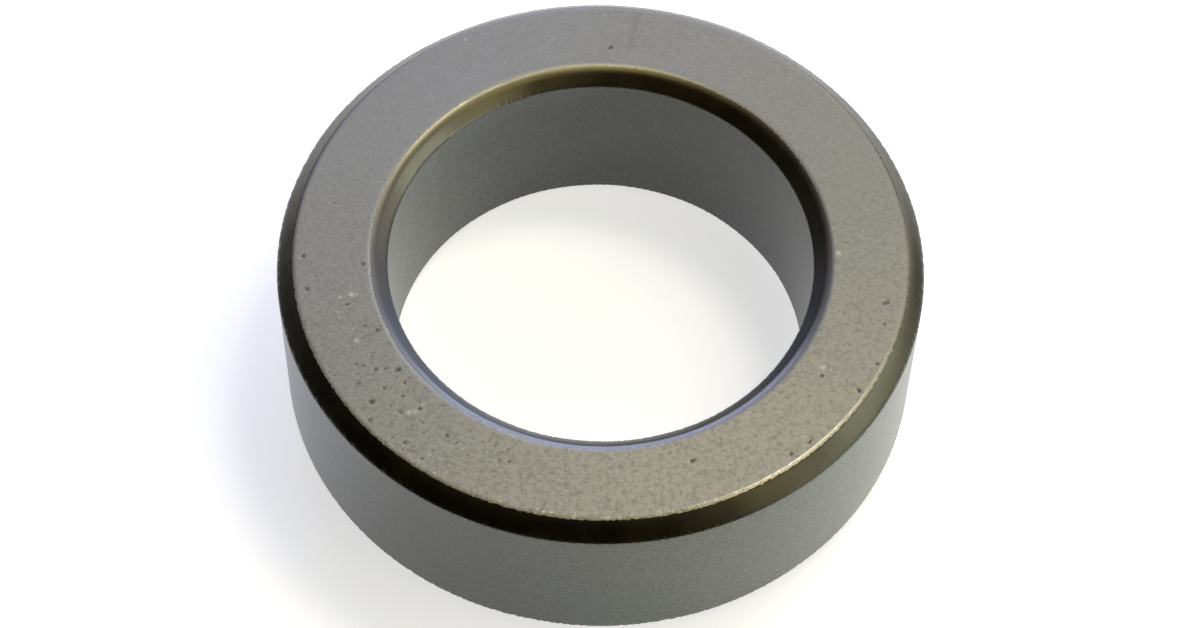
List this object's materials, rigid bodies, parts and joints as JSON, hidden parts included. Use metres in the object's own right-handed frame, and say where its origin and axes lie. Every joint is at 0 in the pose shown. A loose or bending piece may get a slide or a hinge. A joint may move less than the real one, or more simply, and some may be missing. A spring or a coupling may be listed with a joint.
{
  "type": "ferrite toroid core",
  "caption": "Bare grey ferrite toroid core: a flat-faced ring with a round bore and chamfered edges, to be wound with wire as an inductor or to choke a cable passed through it.",
  "frame": {"origin": "centre of the lower flat face, on the bore's axis", "axes": "+Z along the bore's axis, up from the face that the core rests on; the ring is round, so X and Y are free"},
  "size_m": [0.038, 0.038, 0.012],
  "materials": {
    "ferrite": "matte granular flat faces, satin walls, darker glossy chamfers"
  },
  "bodies": {
    "root": {"toroid_core": "ferrite"}
  },
  "joints": []
}
